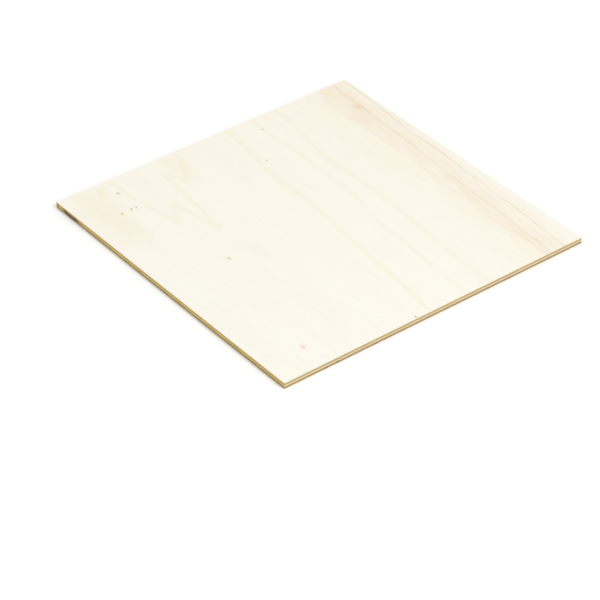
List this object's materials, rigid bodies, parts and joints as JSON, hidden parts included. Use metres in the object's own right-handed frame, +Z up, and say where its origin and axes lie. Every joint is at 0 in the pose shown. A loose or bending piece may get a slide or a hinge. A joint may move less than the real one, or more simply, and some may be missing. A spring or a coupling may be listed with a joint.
{
  "type": "plywood sheet",
  "caption": "Square sheet of thin cross-banded plywood with pale sanded faces and sawn edges that show the plies, for craft, model making and small panels.",
  "frame": {"origin": "centre of the underside, which lies on the floor", "axes": "+X along the grain of the face veneer, +Y across it and along the grain of the core veneer, +Z up through the plies, out of the face"},
  "size_m": [0.2, 0.2, 0.0034],
  "materials": {
    "face_veneer": "pale bare wood, sanded smooth, matt",
    "core_veneer": "bare wood, sawn on its edges, matt",
    "back_veneer": "pale bare wood, sanded smooth, matt"
  },
  "bodies": {
    "root": {"face_veneer": "face_veneer", "core_veneer": "core_veneer", "back_veneer": "back_veneer"}
  },
  "joints": []
}
